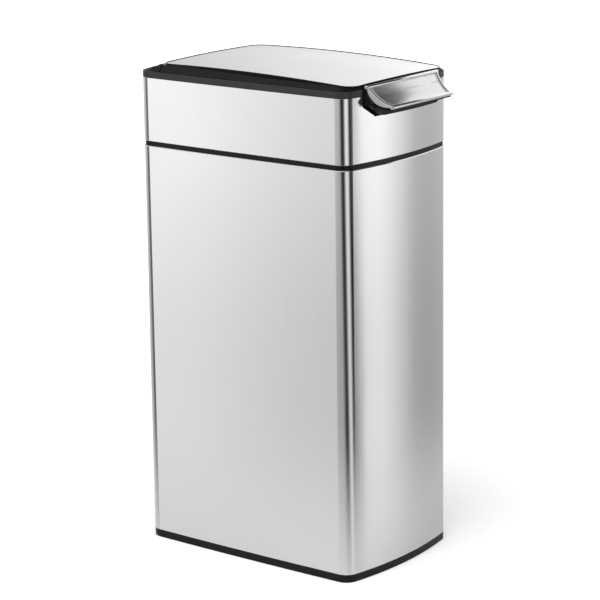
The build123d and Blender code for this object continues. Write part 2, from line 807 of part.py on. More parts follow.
def dome(drop=0.0):
    """Everything below the dome of the lid, lowered by a thickness."""
    with BuildPart() as ball:
        with Locations((0, dome_y, dome_z)):
            Sphere(dome_radius - drop, -dome_reach, dome_reach, 2 * dome_reach,
                   rotation=(90, 0, 90 - dome_reach), align=(Align.NONE, Align.NONE, Align.NONE))
        add(block((-body_width, -body_depth, collar_top - rim_height),
                  (body_width, body_depth, lid_top + lid_rise)), mode=Mode.INTERSECT)
    return ball.part


cap_outer = bevelled_cap()
cap_inner = bevelled_cap(lid_wall)
dome_outer = dome()
dome_sheet = dome(panel_thickness)
dome_deck = dome(panel_thickness + lid_deck)

# Lid panel: the domed steel sheet
with BuildPart() as lid_panel:
    add(panel_prism(0))
    add(dome_outer, mode=Mode.INTERSECT)
    add(dome_sheet, mode=Mode.SUBTRACT)
finish(lid_panel, "lid_panel")

# Lid frame: the bevelled moulding below the panel, with the hinge barrel along its rear edge
void_rear = lid_axis_y - lid_barrel_radius - sweep_gap - lid_wall
screw_boss_radius = screw_radius + lid_deck
liner_top = lid_bottom + liner_thickness
liner_screw_x = throat_half_width - liner_screw_inset
liner_screw_front = throat_front + liner_screw_inset
liner_screw_rear = throat_rear - liner_screw_inset
liner_screw_places = [(x, y) for x in (-liner_screw_x, liner_screw_x)
                      for y in (liner_screw_front, liner_screw_rear)]
with BuildPart() as lid_void:
    add(cap_inner)
    add(panel_prism(lid_wall))
    add(dome_deck, mode=Mode.INTERSECT)
    add(block((-body_width, void_rear, 0), (body_width, body_depth, tall)), mode=Mode.SUBTRACT)
    add(block((-bar_notch_half - lid_wall, -body_depth, 0),
              (bar_notch_half + lid_wall, bar_notch_y + lid_wall, tall)), mode=Mode.SUBTRACT)
    with BuildSketch(Plane.XY.offset(liner_top + press_clearance)):
        with Locations(*liner_screw_places):
            Circle(screw_boss_radius)
            Circle(screw_radius + press_clearance, mode=Mode.SUBTRACT)
    extrude(amount=lid_rise, mode=Mode.SUBTRACT)
with BuildPart() as lid_frame:
    add(cap_outer)
    add(panel_prism(fit_gap))
    add(dome_sheet, mode=Mode.INTERSECT)
    add(block((-body_width, lid_axis_y, 0), (body_width, body_depth, tall)), mode=Mode.SUBTRACT)
    for side in (-1, 1):
        add(rod(cheek_radius + 2 * sweep_gap + fit_gap, (side * lid_barrel_half, lid_axis_y, lid_axis_z),
                body_width, (side, 0, 0)), mode=Mode.SUBTRACT)
    add(block((-bar_notch_half, -body_depth, 0), (bar_notch_half, bar_notch_y, tall)),
        mode=Mode.SUBTRACT)
    add(lid_void.part, mode=Mode.SUBTRACT)
    add(block((-body_width, -body_depth, 0), (body_width, body_depth, lid_bottom)), mode=Mode.SUBTRACT)
    add(cross_rod(lid_barrel_radius, lid_barrel_half, lid_axis_y, lid_axis_z))
    add(cross_rod(hinge_rod_radius + pin_clearance, lid_barrel_half, lid_axis_y, lid_axis_z),
        mode=Mode.SUBTRACT)
    add(cross_rod(spring_bay_radius, spring_bay_half, lid_axis_y, lid_axis_z), mode=Mode.SUBTRACT)
    add(block((-spring_bay_half, void_rear, 0), (spring_bay_half, body_depth, lid_axis_z)),
        mode=Mode.SUBTRACT)
finish(lid_frame, "lid_frame")

# Lid liner: the flat plate that closes the lid frame from below
strike_y = strike_front + strike_bar_depth / 2
with BuildPart() as lid_liner:
    add(bevelled_cap(lid_wall + fit_gap))
    add(dome(panel_thickness + lid_deck + fit_gap), mode=Mode.INTERSECT)
    add(block((-body_width, -body_depth, lid_bottom), (body_width, void_rear - fit_gap, liner_top)),
        mode=Mode.INTERSECT)
    add(block((-bar_notch_half - lid_wall - fit_gap, -body_depth, 0),
              (bar_notch_half + lid_wall + fit_gap, bar_notch_y + lid_wall + fit_gap, tall)),
        mode=Mode.SUBTRACT)
    with BuildSketch(Plane.XY.offset(lid_bottom)):
        with Locations(*liner_screw_places):
            Circle(screw_radius + screw_clearance)
        with Locations((strike_leg / 2 - strike_half, strike_y), (strike_half - strike_leg / 2, strike_y)):
            Rectangle(strike_leg + fit_gap, strike_bar_depth + fit_gap)
    extrude(amount=liner_thickness, mode=Mode.SUBTRACT)
    for x, y in liner_screw_places:
        with Locations((x, y, lid_bottom)):
            Cone(screw_head_radius + screw_clearance, screw_radius + screw_clearance, sink_depth,
                 align=(Align.CENTER, Align.CENTER, Align.MIN), mode=Mode.SUBTRACT)
finish(lid_liner, "lid_liner")

with BuildPart() as liner_screws:
    for x, y in liner_screw_places:
        add(flat_screw((x, y, lid_bottom), (0, 0, 1), 2 * liner_thickness))
finish(liner_screws, "liner_screws")

# Lid strike: a steel loop whose cross bar the hook holds down
strike_top = nose_bottom - fit_gap
foot_bottom = liner_top + press_clearance
with BuildPart() as lid_strike:
    with BuildSketch(Plane.XY.offset(foot_bottom)):
        with Locations((0, strike_y)):
            RectangleRounded(2 * strike_foot_half, strike_foot_length, strike_leg)
    extrude(amount=strike_foot_thickness)
    for side in (-1, 1):
        inner_x = side * (strike_half - strike_leg)
        outer_x = side * strike_half
        add(block((min(inner_x, outer_x), strike_front, strike_top - strike_bar_height),
                  (max(inner_x, outer_x), strike_front + strike_bar_depth, foot_bottom)))
    add(block((-strike_half, strike_front, strike_top - strike_bar_height),
              (strike_half, strike_front + strike_bar_depth, strike_top)))
finish(lid_strike, "lid_strike")

# Hinge cover: the fixed black slope behind the lid, with a cheek for each end of the rod
cover_bottom = rim_top + press_clearance
cover_slope = (cover_ramp_top - cover_deck_top) / (cover_ramp_end - cover_front)
pocket_front = cover_front + lid_wall
pocket_top = cover_ramp_top - lid_wall
pocket_rear = pocket_front + (pocket_top - rim_top) / cover_slope
with BuildPart() as hinge_cover:
    add(side_profile([(cover_front, cover_bottom), (cover_front, cover_ramp_top),
                      (cover_ramp_end, cover_deck_top), (body_depth, cover_deck_top),
                      (body_depth, cover_bottom)], body_width))
    add(side_profile([(pocket_front, cover_bottom), (pocket_front, pocket_top),
                      (pocket_rear, cover_bottom)], throat_half_width - lid_wall), mode=Mode.SUBTRACT)
    with BuildSketch(Plane.XY.offset(cover_bottom)):
        with Locations(*cover_screw_places):
            Circle(screw_boss_radius)
    extrude(amount=liner_thickness)
    for side in (-1, 1):
        inner_x = side * bay_half
        outer_x = side * body_width
        add(rod(cheek_radius, (inner_x, lid_axis_y, lid_axis_z), body_width - bay_half, (side, 0, 0)))
        add(block((min(inner_x, outer_x), lid_axis_y - cheek_radius, cover_bottom),
                  (max(inner_x, outer_x), pocket_front, cheek_strip_top)))
    add(cap_outer, mode=Mode.INTERSECT)
    add(block((-body_width, 0, 0), (body_width, body_depth, cover_bottom)), mode=Mode.SUBTRACT)
    add(cross_rod(hinge_rod_radius + press_clearance, hinge_rod_half + fit_gap, lid_axis_y, lid_axis_z),
        mode=Mode.SUBTRACT)
    with BuildSketch(Plane.XY.offset(cover_bottom)):
        with Locations(*cover_screw_places):
            Circle(screw_radius + press_clearance)
    extrude(amount=liner_thickness, mode=Mode.SUBTRACT)
finish(hinge_cover, "hinge_cover")

with BuildPart() as cover_screws:
    for x, y in cover_screw_places:
        add(pan_screw((x, y, ledge_bottom - press_clearance), (0, 0, 1), ledge_thickness + liner_thickness))
finish(cover_screws, "cover_screws")

with BuildPart() as lid_hinge_rod:
    add(cross_rod(hinge_rod_radius, hinge_rod_half, lid_axis_y, lid_axis_z))
finish(lid_hinge_rod, "lid_hinge_rod")

# Lid spring: a coil round the rod, one leg on the collar and one in the lid
with BuildPart() as lid_spring:
    add(coil(torsion_radius, torsion_wire, (-torsion_half, lid_axis_y, lid_axis_z), 2 * torsion_half,
             (1, 0, 0)))
    leg_x = torsion_half - torsion_wire
    leg_reach = (0, torsion_radius - torsion_foot_reach, -torsion_foot_drop)
    add(rod(torsion_wire, (-leg_x, lid_axis_y - torsion_radius, lid_axis_z),
            hypot(leg_reach[1], leg_reach[2]), leg_reach))
    add(rod(torsion_wire, (leg_x, lid_axis_y, lid_axis_z + torsion_radius), torsion_arm, (0, -1, 0)))
finish(lid_spring, "lid_spring")

with BuildPart() as lid_bumpers:
    with BuildSketch(Plane.XY.offset(rim_top - ledge_thickness / 2 + press_clearance)):
        with Locations(*bumper_places):
            Circle(bumper_radius)
    extrude(amount=ledge_thickness / 2 + lid_gap - bumper_gap - press_clearance)
finish(lid_bumpers, "lid_bumpers")

# Touch bar: a quarter-round steel scoop with a rounded bead along its top and its lip
scoop_outer = scoop_radius + scoop_sheet
backing_inner = scoop_outer + press_clearance


def bar_plan(inset):
    """Plan of the touch bar, narrower at the lip, drawn in by an inset."""
    with BuildPart(mode=Mode.PRIVATE) as plan:
        with BuildSketch():
            with BuildLine():
                Polyline((inset - bar_rear_half, bar_rear_y), (bar_rear_half - inset, bar_rear_y),
                         (bar_front_half - inset, bar_front_y), (inset - bar_front_half, bar_front_y),
                         close=True)
            make_face()
        extrude(amount=tall)
    return plan.part


def scoop_band(inner, outer, half):
    """Part of a tube about the axis of the scoop, from the top of the bar to its lip."""
    top_reach = outer * cos(radians(scoop_top_angle))
    top_drop = outer * sin(radians(scoop_top_angle))
    with BuildPart(mode=Mode.PRIVATE) as band:
        add(cross_rod(outer, half, scoop_y, scoop_z))
        add(cross_rod(inner, half, scoop_y, scoop_z), mode=Mode.SUBTRACT)
        add(side_profile([(scoop_y, scoop_z), (scoop_y + top_reach, scoop_z - top_drop),
                          (scoop_y + outer, scoop_z - outer), (scoop_y, scoop_z - outer)], half),
            mode=Mode.INTERSECT)
    return band.part


def stud(side):
    """A screw stud under the scoop, cut to follow the underside of its sheet."""
    seat_radius = (scoop_radius + scoop_outer) / 2
    with BuildPart(mode=Mode.PRIVATE) as post:
        add(rod(stud_radius, (side * stud_x, stud_y, stud_bottom), scoop_radius, (0, 0, 1)))
        add(cross_rod(seat_radius, bar_rear_half, scoop_y, scoop_z), mode=Mode.SUBTRACT)
        add(block((-bar_rear_half, -body_depth, stud_bottom),
                  (bar_rear_half, 0, top_bead_z - bead_radius)), mode=Mode.INTERSECT)
        add(rod(screw_radius + press_clearance, (side * stud_x, stud_y, stud_bottom), stud_depth,
                (0, 0, 1)), mode=Mode.SUBTRACT)
    return post.part


with BuildPart() as end_rib_zone:
    add(bar_plan(0))
    add(bar_plan(end_rib_width), mode=Mode.SUBTRACT)
with BuildPart() as end_ribs:
    add(scoop_band(scoop_radius - rib_rise, scoop_outer, bar_rear_half))
    add(end_rib_zone.part, mode=Mode.INTERSECT)
with BuildPart() as touch_bar:
    add(scoop_band(scoop_radius, scoop_outer, bar_rear_half))
    add(cross_rod(bead_radius, bar_rear_half, top_bead_y, top_bead_z))
    add(cross_rod(bead_radius, bar_rear_half, lip_bead_y, lip_bead_z))
    add(bar_plan(0), mode=Mode.INTERSECT)
    add(end_ribs.part)
    for side in (-1, 1):
        add(stud(side))
finish(touch_bar, "touch_bar")

# Bar carrier: the black moulding that backs the touch bar and turns on the bar pin
with BuildPart() as bar_backing:
    add(scoop_band(backing_inner, backing_inner + backing_thickness, bar_rear_half))
    add(bar_plan(backing_inset), mode=Mode.INTERSECT)
    add(block((-body_width, -body_depth, 0), (body_width, bar_notch_y, carrier_top)), mode=Mode.INTERSECT)
with BuildPart() as bar_carrier:
    with BuildSketch(Plane.XY.offset(carrier_bottom)):
        add(outline(-carrier_reach))
    extrude(amount=carrier_top - carrier_bottom)
    add(bar_front(carrier_half, carrier_bottom, carrier_top), mode=Mode.INTERSECT)
    add(block((-carrier_half, bar_notch_y, 0), (carrier_half, 0, tall)), mode=Mode.SUBTRACT)
    add(bar_backing.part)
    add(cross_rod(backing_inner, body_width, scoop_y, scoop_z), mode=Mode.SUBTRACT)
    for x in (-arm_half + arm_width / 2, 0, arm_half - arm_width / 2):
        arm_reach = hook_half if x == 0 else arm_width / 2
        add(block((x - arm_reach, bar_notch_y - backing_thickness, carrier_bottom),
                  (x + arm_reach, bar_pin_y, bar_pin_z + arm_boss_radius)))
        add(rod(arm_boss_radius, (x - arm_reach, bar_pin_y, bar_pin_z), 2 * arm_reach, (1, 0, 0)))
    add(block((-hook_half, bar_pin_y, finger_bottom), (hook_half, finger_end, finger_top)))
    add(cross_rod(bar_pin_radius + pin_clearance, arm_half, bar_pin_y, bar_pin_z), mode=Mode.SUBTRACT)
    for side in (-1, 1):
        add(rod(stud_radius + fit_gap, (side * stud_x, stud_y, stud_bottom - fit_gap), scoop_radius,
                (0, 0, 1)), mode=Mode.SUBTRACT)
        add(rod(screw_radius + screw_clearance, (side * stud_x, stud_y, carrier_bottom), scoop_radius,
                (0, 0, 1)), mode=Mode.SUBTRACT)
        add(rod(screw_head_radius + fit_gap, (side * stud_x, stud_y, carrier_bottom),
                stud_seat - carrier_bottom, (0, 0, 1)), mode=Mode.SUBTRACT)
finish(bar_carrier, "bar_carrier")

with BuildPart() as bar_screws:
    for side in (-1, 1):
        add(pan_screw((side * stud_x, stud_y, stud_seat - press_clearance), (0, 0, 1),
                      stud_bottom - stud_seat + stud_radius))
finish(bar_screws, "bar_screws")

# Latch housing: the pocket under the rim that carries the pins of the bar and of the hook
housing_rear = throat_front - chute_wall - fit_gap
housing_floor = housing_bottom + housing_wall
housing_top = ledge_bottom - fit_gap
bar_lug_x = arm_half + bar_lug_gap
hook_lug_x = hook_half + hook_lug_gap
with BuildPart() as housing_walls:
    with BuildSketch(Plane.XY.offset(housing_bottom)):
        add(outline(housing_side_inset))
    extrude(amount=housing_top - housing_bottom)
    add(block((-housing_half, -body_depth, 0), (housing_half, housing_rear, tall)), mode=Mode.INTERSECT)
    add(block((housing_wall - housing_half, -body_depth, 0),
              (housing_half - housing_wall, housing_rear - housing_wall, tall)), mode=Mode.SUBTRACT)
with BuildPart() as latch_housing:
    with BuildSketch(Plane.XY.offset(housing_bottom)):
        add(outline(housing_front_inset))
    extrude(amount=housing_wall)
    add(block((-housing_half, -body_depth, housing_bottom), (housing_half, housing_rear, housing_floor)),
        mode=Mode.INTERSECT)
    add(housing_walls.part)
    for x, y in housing_screw_places:
        wall_x = housing_half if x > 0 else -housing_half
        add(rod(housing_tab_radius, (x, y, tab_top - fit_gap), housing_wall, (0, 0, -1)))
        add(block((min(x, wall_x), y - housing_tab_radius, tab_top - fit_gap - housing_wall),
                  (max(x, wall_x), y + housing_tab_radius, tab_top - fit_gap)))
        add(rod(screw_radius + screw_clearance, (x, y, tab_top), 2 * housing_wall, (0, 0, -1)),
            mode=Mode.SUBTRACT)
    for x, width, y, z, radius in ((bar_lug_x, bar_lug_width, bar_pin_y, bar_pin_z, arm_boss_radius),
                                   (hook_lug_x, hook_lug_width, hook_pin_y, hook_pin_z, hook_boss_radius)):
        for side in (-1, 1):
            low_x = x if side > 0 else -x - width
            add(block((low_x, y - radius, housing_bottom), (low_x + width, y + radius, z)))
            add(rod(radius, (low_x, y, z), width, (1, 0, 0)))
    add(cross_rod(bar_pin_radius + press_clearance, body_width, bar_pin_y, bar_pin_z), mode=Mode.SUBTRACT)
    add(cross_rod(hook_pin_radius + press_clearance, hook_lug_x + 2 * hook_lug_width, hook_pin_y,
                  hook_pin_z), mode=Mode.SUBTRACT)
finish(latch_housing, "latch_housing")

with BuildPart() as housing_screws:
    for x, y in housing_screw_places:
        add(pan_screw((x, y, tab_top - fit_gap - housing_wall - press_clearance), (0, 0, 1),
                      housing_wall + fit_gap + housing_tab_drop))
finish(housing_screws, "housing_screws")

with BuildPart() as bar_pin:
    add(cross_rod(bar_pin_radius, bar_lug_x + bar_lug_width + pin_end, bar_pin_y, bar_pin_z))
finish(bar_pin, "bar_pin")

with BuildPart() as hook_pin:
    add(cross_rod(hook_pin_radius, hook_lug_x + hook_lug_width + pin_end, hook_pin_y, hook_pin_z))
finish(hook_pin, "hook_pin")

# Latch hook: a nose over the strike bar and a tail over the finger of the bar carrier
nose_front = hook_pin_y - nose_reach
stem_low = hook_pin_y - stem_front
stem_high = hook_pin_y + stem_rear
tail_bottom = finger_top + fit_gap
with BuildPart() as latch_hook:
    add(side_profile([(stem_low, hook_pin_z), (stem_high, hook_pin_z), (stem_high, hook_top),
                      (stem_low, hook_top), (nose_front, nose_bottom + nose_tip),
                      (nose_front, nose_bottom), (stem_low, nose_bottom)], hook_half))
    add(side_profile([(hook_pin_y, tail_bottom), (hook_pin_y, tail_bottom + tail_thickness),
                      (hook_pin_y - tail_reach, tail_bottom + tail_thickness),
                      (hook_pin_y - tail_reach, tail_bottom)], hook_half))
    add(cross_rod(hook_boss_radius, hook_half, hook_pin_y, hook_pin_z))
    add(cross_rod(hook_pin_radius + pin_clearance, hook_half, hook_pin_y, hook_pin_z),
        mode=Mode.SUBTRACT)
finish(latch_hook, "latch_hook")

# Return springs of the bar and of the hook
with BuildPart() as bar_springs:
    for side in (-1, 1):
        add(coil(bar_spring_radius, spring_wire,
                 (side * bar_spring_x, bar_spring_y, housing_floor + press_clearance),
                 carrier_bottom - housing_floor - 2 * press_clearance, (0, 0, 1)))
finish(bar_springs, "bar_springs")

with BuildPart() as latch_spring:
    add(coil(latch_spring_radius, spring_wire,
             (0, stem_high + press_clearance, latch_spring_z),
             housing_rear - housing_wall - stem_high - 2 * press_clearance, (0, 1, 0)))
finish(latch_spring, "latch_spring")
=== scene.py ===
import bmesh
import bpy
from math import atan2, cos, radians, sin, sqrt, tau
from mathutils import Matrix, Quaternion, Vector


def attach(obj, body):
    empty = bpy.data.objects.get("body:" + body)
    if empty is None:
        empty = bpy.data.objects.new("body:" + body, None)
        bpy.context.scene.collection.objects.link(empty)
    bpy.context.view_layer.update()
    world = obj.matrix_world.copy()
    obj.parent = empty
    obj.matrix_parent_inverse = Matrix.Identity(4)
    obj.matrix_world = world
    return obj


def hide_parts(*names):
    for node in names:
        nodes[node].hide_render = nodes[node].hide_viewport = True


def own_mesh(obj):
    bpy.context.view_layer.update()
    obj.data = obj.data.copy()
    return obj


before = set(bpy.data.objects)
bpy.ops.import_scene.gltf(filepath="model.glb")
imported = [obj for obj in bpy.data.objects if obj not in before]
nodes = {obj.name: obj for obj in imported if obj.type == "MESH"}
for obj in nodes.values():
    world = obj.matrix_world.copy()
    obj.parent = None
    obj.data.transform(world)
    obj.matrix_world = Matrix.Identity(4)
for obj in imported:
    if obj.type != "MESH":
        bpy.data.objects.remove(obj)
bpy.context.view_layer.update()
scene = bpy.context.scene
print("frame loaded")

# Camera

cameraSettings = {
    "azimuth": -52.3819,        # degrees round the bin, 0 faces the touch bar
    "elevation": 14.0867,
    "distance": 3.32837,
    "target": (0.00427, -0.0029, 0.33133),
    "roll": -0.73977,
    "lens": 149.793,
    "sensorWidth": 36,
    "clipEnd": 50,
}


def makeCamera(s):
    azimuth = radians(s["azimuth"])
    elevation = radians(s["elevation"])
    flat = cos(elevation)
    back = Vector((sin(azimuth) * flat, -cos(azimuth) * flat, sin(elevation)))
    data = bpy.data.cameras.new("studioCamera")
    data.lens = s["lens"]
    data.sensor_width = s["sensorWidth"]
    data.clip_end = s["clipEnd"]
    camera = bpy.data.objects.new("studioCamera", data)
    camera.location = Vector(s["target"]) + back * s["distance"]
    turn = back.to_track_quat("Z", "Y") @ Quaternion((0, 0, 1), radians(s["roll"]))
    camera.rotation_euler = turn.to_euler()
    scene.collection.objects.link(camera)
    scene.camera = camera


makeCamera(cameraSettings)

# Shader helpers

socketKinds = {
    "Vector": "NodeSocketVector",
    "Normal": "NodeSocketVector",
    "Colour": "NodeSocketColor",
    "HighlightColour": "NodeSocketColor",
}


def grey(level):
    return (level, level, level, 1)


def inRadians(angles):
    return [radians(angle) for angle in angles]


def feed(tree, value, socket):
    if isinstance(value, bpy.types.NodeSocket):
        tree.links.new(value, socket)
    else:
        socket.default_value = value


def mathNode(tree, operation, *values):
    node = tree.nodes.new("ShaderNodeMath")
    node.operation = operation
    for socket, value in zip(node.inputs, values):
        feed(tree, value, socket)
    return node.outputs[0]


def rangeNode(tree, value, start, end):
    node = tree.nodes.new("ShaderNodeMapRange")
    node.interpolation_type = "SMOOTHSTEP"
    node.inputs["From Min"].default_value = start
    node.inputs["From Max"].default_value = end
    tree.links.new(value, node.inputs["Value"])
    return node.outputs["Result"]


def scaleNode(tree, vector, scale):
    node = tree.nodes.new("ShaderNodeVectorMath")
    node.operation = "SCALE"
    tree.links.new(vector, node.inputs[0])
    tree.links.new(scale, node.inputs["Scale"])
    return node.outputs[0]


def mixNode(tree, share, first, second):
    node = tree.nodes.new("ShaderNodeMix")
    node.data_type = "RGBA"
    tree.links.new(share, node.inputs[0])
    feed(tree, first, node.inputs[6])
    feed(tree, second, node.inputs[7])
    return node.outputs[2]


def mixShader(tree, share, first, second):
    node = tree.nodes.new("ShaderNodeMixShader")
    for socket, value in zip(node.inputs, (share, first, second)):
        tree.links.new(value, socket)
    return node.outputs[0]


def rampNode(tree, angle, stops):
    ramp = tree.nodes.new("ShaderNodeValToRGB")
    elements = ramp.color_ramp.elements
    for degrees, level in stops[1:-1]:
        elements.new((degrees + 180) / 360).color = grey(level)
    elements[0].color = grey(stops[0][1])
    elements[-1].color = grey(stops[-1][1])
    tree.links.new(mathNode(tree, "MULTIPLY_ADD", angle, 1 / tau, 0.5), ramp.inputs["Fac"])
    return ramp.outputs["Color"]


# Studio

worldSettings = {
    "fill": 0.42,               # what the world gives to matt surfaces
    "reflected": 1.0,           # brightness of the studio as metal sees it
    "panels": (                 # soft boxes and dark flags: degrees round from the bar, level
        (-180, 0.75), (-165, 0.5), (-148, 0.12), (-140, 0.35), (-136, 1.25), (-132, 1.2),
        (-127, 0.98), (-122, 0.82), (-112, 0.62), (-92, 0.56), (-84, 0.5), (-76, 0.2),
        (-70, 0.04), (-56, 0.02), (-50, 0.1), (-43, 0.55), (-36, 1.0), (-22, 1.0), (-7, 0.12),
        (1, 0.01), (8, 0.05), (16, 0.14), (27, 0.16), (31, 0.62), (33.5, 1.22), (43, 1.24),
        (52, 0.92), (60, 0.6), (70, 0.56), (85, 0.7), (110, 0.9), (180, 0.75)),
    "lean": 3.2,                # degrees that the front panels lean for each degree below the first
    "leanBelow": -9.7,
    "leanFrom": (-92, -76),     # left of these the panels stand straight
    "leanTo": (25, 36),         # and right of these
    "dimming": 0.24,            # how much weaker the panels are at their foot
    "foot": (9, 15.5),          # degrees down, over which they weaken
    "overhead": (               # the same round the ceiling
        (-180, 0.85), (-120, 0.8), (-40, 0.7), (20, 0.4), (50, 0.1), (106, 0.06), (113, 0.9),
        (118, 1.4), (124, 1.22), (134, 0.6), (150, 0.64), (180, 0.85)),
    "overheadFrom": (1, 8),     # degrees up, from where the panels end to where the ceiling starts
    "top": (                    # and round the top of the room
        (-180, 0.8), (-60, 0.7), (20, 0.3), (50, 0.1), (126, 0.06), (150, 0.5), (180, 0.8)),
    "topFrom": (20, 27),
}


def makeWorld(s):
    world = bpy.data.worlds.new("studio")
    world.use_nodes = True
    scene.world = world
    tree = world.node_tree
    tree.nodes.clear()
    output = tree.nodes.new("ShaderNodeOutputWorld")
    path = tree.nodes.new("ShaderNodeLightPath")
    place = tree.nodes.new("ShaderNodeTexCoord")
    split = tree.nodes.new("ShaderNodeSeparateXYZ")
    tree.links.new(place.outputs["Generated"], split.inputs[0])
    toFront = mathNode(tree, "MULTIPLY", split.outputs["Y"], -1)
    around = mathNode(tree, "ARCTAN2", split.outputs["X"], toFront)
    up = mathNode(tree, "ARCSINE", split.outputs["Z"])
    below = mathNode(tree, "SUBTRACT", radians(s["leanBelow"]), up)
    below = mathNode(tree, "MAXIMUM", below, 0)
    leanRise = rangeNode(tree, around, *inRadians(s["leanFrom"]))
    leanFall = rangeNode(tree, around, *inRadians(reversed(s["leanTo"])))
    lean = mathNode(tree, "MULTIPLY", leanRise, leanFall)
    lean = mathNode(tree, "MULTIPLY", lean, s["lean"])
    leaned = mathNode(tree, "SUBTRACT", around, mathNode(tree, "MULTIPLY", lean, below))
    foot = rangeNode(tree, mathNode(tree, "MULTIPLY", up, -1), *inRadians(s["foot"]))
    dimmed = mathNode(tree, "MULTIPLY_ADD", foot, -s["dimming"], 1)
    studio = scaleNode(tree, rampNode(tree, leaned, s["panels"]), dimmed)
    for label in ("overhead", "top"):
        share = rangeNode(tree, up, *inRadians(s[label + "From"]))
        studio = mixNode(tree, share, studio, rampNode(tree, around, s[label]))
    backs = {}
    for label, level, colour in (("seen", 1, grey(1)), ("fill", s["fill"], grey(1)),
                                 ("mirrored", s["reflected"], studio)):
        back = tree.nodes.new("ShaderNodeBackground")
        back.inputs["Strength"].default_value = level
        feed(tree, colour, back.inputs["Color"])
        backs[label] = back.outputs[0]
    unseen = mixShader(tree, path.outputs["Is Glossy Ray"], backs["fill"], backs["mirrored"])
    whole = mixShader(tree, path.outputs["Is Camera Ray"], unseen, backs["seen"])
    tree.links.new(whole, output.inputs[0])


makeWorld(worldSettings)

lampSettings = {
    "key": {"place": (-0.9, -0.25, 3.3), "aim": (0, 0, 0.35), "size": (1.7, 1.7), "watts": 74,
            "card": False},
    "front": {"place": (0.9, -3.0, 1.9), "aim": (0, 0, 0.4), "size": (1.8, 1.8), "watts": 14,
              "card": False},
    "barCard": {"place": (0.5, -0.19, 0.8), "aim": (0, -0.19, 0.8), "size": (0.62, 0.4),
                "watts": 0.6, "card": True},    # a card that only metal sees, beside the touch bar
}


def makeLamp(name, s):
    data = bpy.data.lights.new(name, "AREA")
    data.shape = "ELLIPSE"
    data.size, data.size_y = s["size"]
    data.energy = s["watts"]
    lamp = bpy.data.objects.new(name, data)
    lamp.location = s["place"]
    away = Vector(s["place"]) - Vector(s["aim"])
    lamp.rotation_euler = away.to_track_quat("Z", "Y").to_euler()
    lamp.visible_camera = False
    lamp.visible_glossy = s["card"]
    lamp.visible_diffuse = not s["card"]
    scene.collection.objects.link(lamp)


for lampName, settings in lampSettings.items():
    makeLamp(lampName, settings)

floorSettings = {
    "radius": 12.0,
    "sides": 96,
    "albedo": 0.8,
    "white": 0.36,              # plain white that the camera sees on top of it near the bin
    "whiteFrom": (0.7, 2.2),    # and all white past the second distance
    "mirrored": (-0.05, 0.9),   # metal sees less and less of it between these, and none beyond
}


def makeFloor(s):
    bpy.ops.mesh.primitive_circle_add(vertices=s["sides"], radius=s["radius"], fill_type="NGON")
    floor = bpy.context.object
    floor.name = "floor"
    material = bpy.data.materials.new("paleFloor")
    material.use_nodes = True
    tree = material.node_tree
    tree.nodes.clear()
    output = tree.nodes.new("ShaderNodeOutputMaterial")
    path = tree.nodes.new("ShaderNodeLightPath")
    matt = tree.nodes.new("ShaderNodeBsdfDiffuse")
    matt.inputs["Color"].default_value = grey(s["albedo"])
    glow = tree.nodes.new("ShaderNodeEmission")
    glow.inputs["Color"].default_value = grey(1)
    place = tree.nodes.new("ShaderNodeTexCoord")
    distance = tree.nodes.new("ShaderNodeVectorMath")
    distance.operation = "LENGTH"
    tree.links.new(place.outputs["Object"], distance.inputs[0])
    far = rangeNode(tree, distance.outputs["Value"], *s["whiteFrom"])
    white = mathNode(tree, "MULTIPLY_ADD", far, 1 - s["white"], s["white"])
    strength = mathNode(tree, "MULTIPLY", path.outputs["Is Camera Ray"], white)
    tree.links.new(strength, glow.inputs["Strength"])
    lit = tree.nodes.new("ShaderNodeAddShader")
    tree.links.new(matt.outputs[0], lit.inputs[0])
    tree.links.new(glow.outputs[0], lit.inputs[1])
    fade = rangeNode(tree, distance.outputs["Value"], *s["mirrored"])
    openShare = mathNode(tree, "MULTIPLY", path.outputs["Is Glossy Ray"], fade)
    opened = tree.nodes.new("ShaderNodeBsdfTransparent")
    whole = mixShader(tree, openShare, lit.outputs[0], opened.outputs[0])
    tree.links.new(whole, output.inputs[0])
    floor.data.materials.append(material)


makeFloor(floorSettings)
print("studio ready")

# Shared effects

noiseMean = 0.5


def group(name, inputs, outputs):
    tree = bpy.data.node_groups.new(name, "ShaderNodeTree")
    for label, value in inputs.items():
        kind = socketKinds.get(label, "NodeSocketFloat")
        socket = tree.interface.new_socket(name=label, in_out="INPUT", socket_type=kind)
        if value is not None:
            socket.default_value = value
    for label in outputs:
        kind = socketKinds.get(label, "NodeSocketFloat")
        tree.interface.new_socket(name=label, in_out="OUTPUT", socket_type=kind)
    given = tree.nodes.new("NodeGroupInput").outputs
    return tree, given, tree.nodes.new("NodeGroupOutput").inputs


def noiseNode(tree, vector, scale, detail):
    mapping = tree.nodes.new("ShaderNodeMapping")
    mapping.inputs["Scale"].default_value = scale
    tree.links.new(vector, mapping.inputs["Vector"])
    noise = tree.nodes.new("ShaderNodeTexNoise")
    noise.inputs["Scale"].default_value = 1
    noise.inputs["Detail"].default_value = detail
    tree.links.new(mapping.outputs[0], noise.inputs["Vector"])
    return noise.outputs[0]


def bumpNode(tree, strength, height, distance):
    bump = tree.nodes.new("ShaderNodeBump")
    bump.inputs["Distance"].default_value = distance
    tree.links.new(strength, bump.inputs["Strength"])
    tree.links.new(height, bump.inputs["Height"])
    return bump.outputs[0]


brushSettings = {
    "fine": ((900, 900, 9), 4),     # how often the noise changes in a metre each way, its detail
    "broad": ((120, 120, 1.2), 3),
    "cloud": ((7, 7, 7), 2),
    "roughStreaks": 0.12,
    "roughClouds": 0.08,
    "bump": 0.0001,
}


